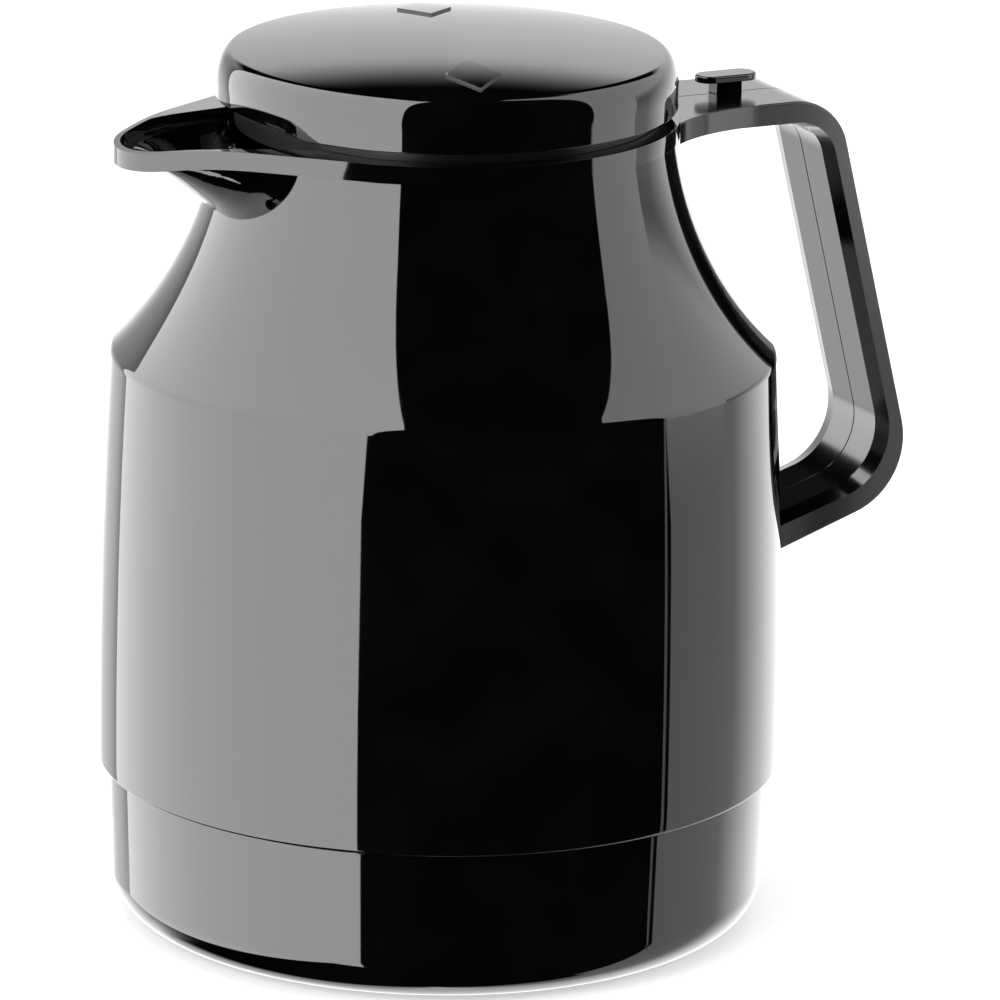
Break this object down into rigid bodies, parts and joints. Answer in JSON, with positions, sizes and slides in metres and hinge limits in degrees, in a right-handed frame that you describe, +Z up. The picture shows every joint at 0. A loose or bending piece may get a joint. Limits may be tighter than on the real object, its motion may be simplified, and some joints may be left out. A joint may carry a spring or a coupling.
{
  "type": "thermal carafe with flip lid",
  "caption": "Round insulated pouring jug with a looped side handle, a wide pouring lip and a domed lid that tips open on a rear hinge from a thumb button.",
  "frame": {"origin": "centre of the foot on the jug's axis, at the level it stands on", "axes": "+Z up along the jug's axis, -X towards the spout, +X towards the handle"},
  "size_m": [0.1849, 0.15, 0.1964],
  "materials": {
    "casing_plastic": "high gloss",
    "inner_plastic": "satin",
    "silvered_glass": "silvered",
    "seal_rubber": "matte",
    "foam": "matte",
    "steel": "satin"
  },
  "bodies": {
    "jug": {"body_shell": "casing_plastic", "base_cup": "casing_plastic", "base_cushion": "seal_rubber", "flask_outer": "silvered_glass", "flask_inner": "silvered_glass", "flask_spacers": "foam", "centring_ring": "seal_rubber", "neck_gasket": "seal_rubber", "collar": "casing_plastic", "handle_left": "casing_plastic", "handle_right": "casing_plastic", "handle_root_screws": "steel", "handle_foot_screws": "steel", "hinge_pin": "steel", "return_spring": "steel"},
    "rocker": {"rocker_lever": "inner_plastic"},
    "button": {"thumb_button": "casing_plastic"},
    "lid": {"lid_cap": "casing_plastic", "lid_base": "inner_plastic", "lid_foam": "foam", "stopper_cup": "inner_plastic", "stopper_foam": "foam", "stopper_seal": "seal_rubber", "lid_screws": "steel"}
  },
  "joints": [
    {"name": "rocker_tilt", "type": "hinge", "parent": "jug", "child": "rocker", "pos_m": [0.051, 0, 0.1796], "axis": [0, 1, 0], "range_deg": [0, 6.1], "stiffness_Nm_per_rad": 0.1, "springref_deg": -5.73, "deforming": ["return_spring"]},
    {"name": "button_press", "type": "slide", "parent": "jug", "child": "button", "axis": [0, 0, -1], "range_m": [0, 0.0018], "stiffness_N_per_m": 0.1, "springref_m": -0.0249},
    {"name": "lid_flip", "type": "hinge", "parent": "rocker", "child": "lid", "pos_m": [0.051, 0, 0.1796], "axis": [0, 1, 0], "range_deg": [0, 70]}
  ],
  "couplings": [
    {"joint": "button_press", "follows": "rocker_tilt", "m_per_rad": 0.0169}
  ]
}
